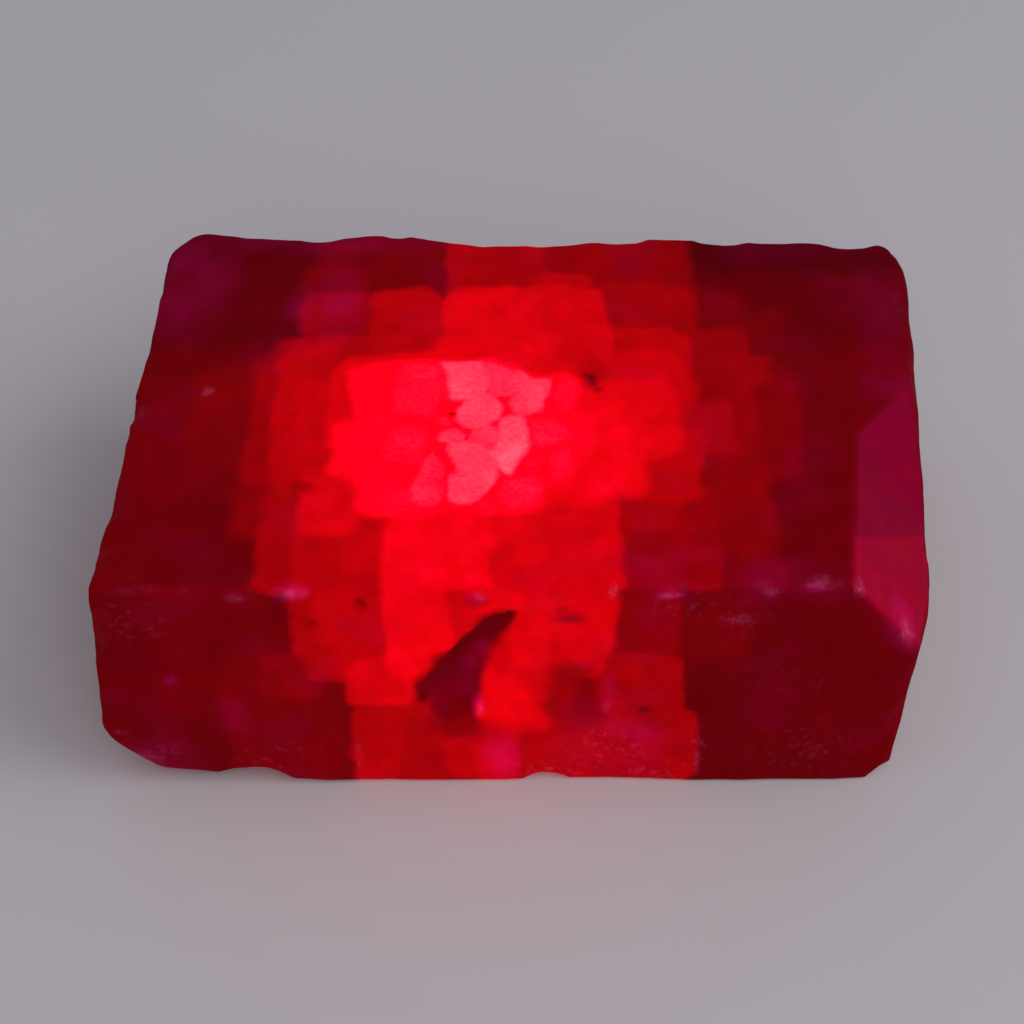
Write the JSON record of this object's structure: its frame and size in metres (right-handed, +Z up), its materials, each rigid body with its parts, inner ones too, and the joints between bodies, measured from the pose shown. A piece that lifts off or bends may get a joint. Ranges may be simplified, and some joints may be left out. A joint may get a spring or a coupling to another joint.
{
  "type": "raw ruby crystal",
  "caption": "Raw ruby crystal: a rough rectangular block of deep red, see-through ruby with flat parting faces, worn and chipped edges and a gouged front.",
  "frame": {"origin": "centre of the block's base, on the surface that it rests on", "axes": "+X along the block towards its planed shoulder, +Y from its gouged front to its back, +Z up"},
  "size_m": [0.0505, 0.0334, 0.0171],
  "materials": {
    "ruby": "see-through crimson crystal with a waxy, finely frosted surface"
  },
  "bodies": {
    "root": {"ruby_crystal": "ruby"}
  },
  "joints": []
}
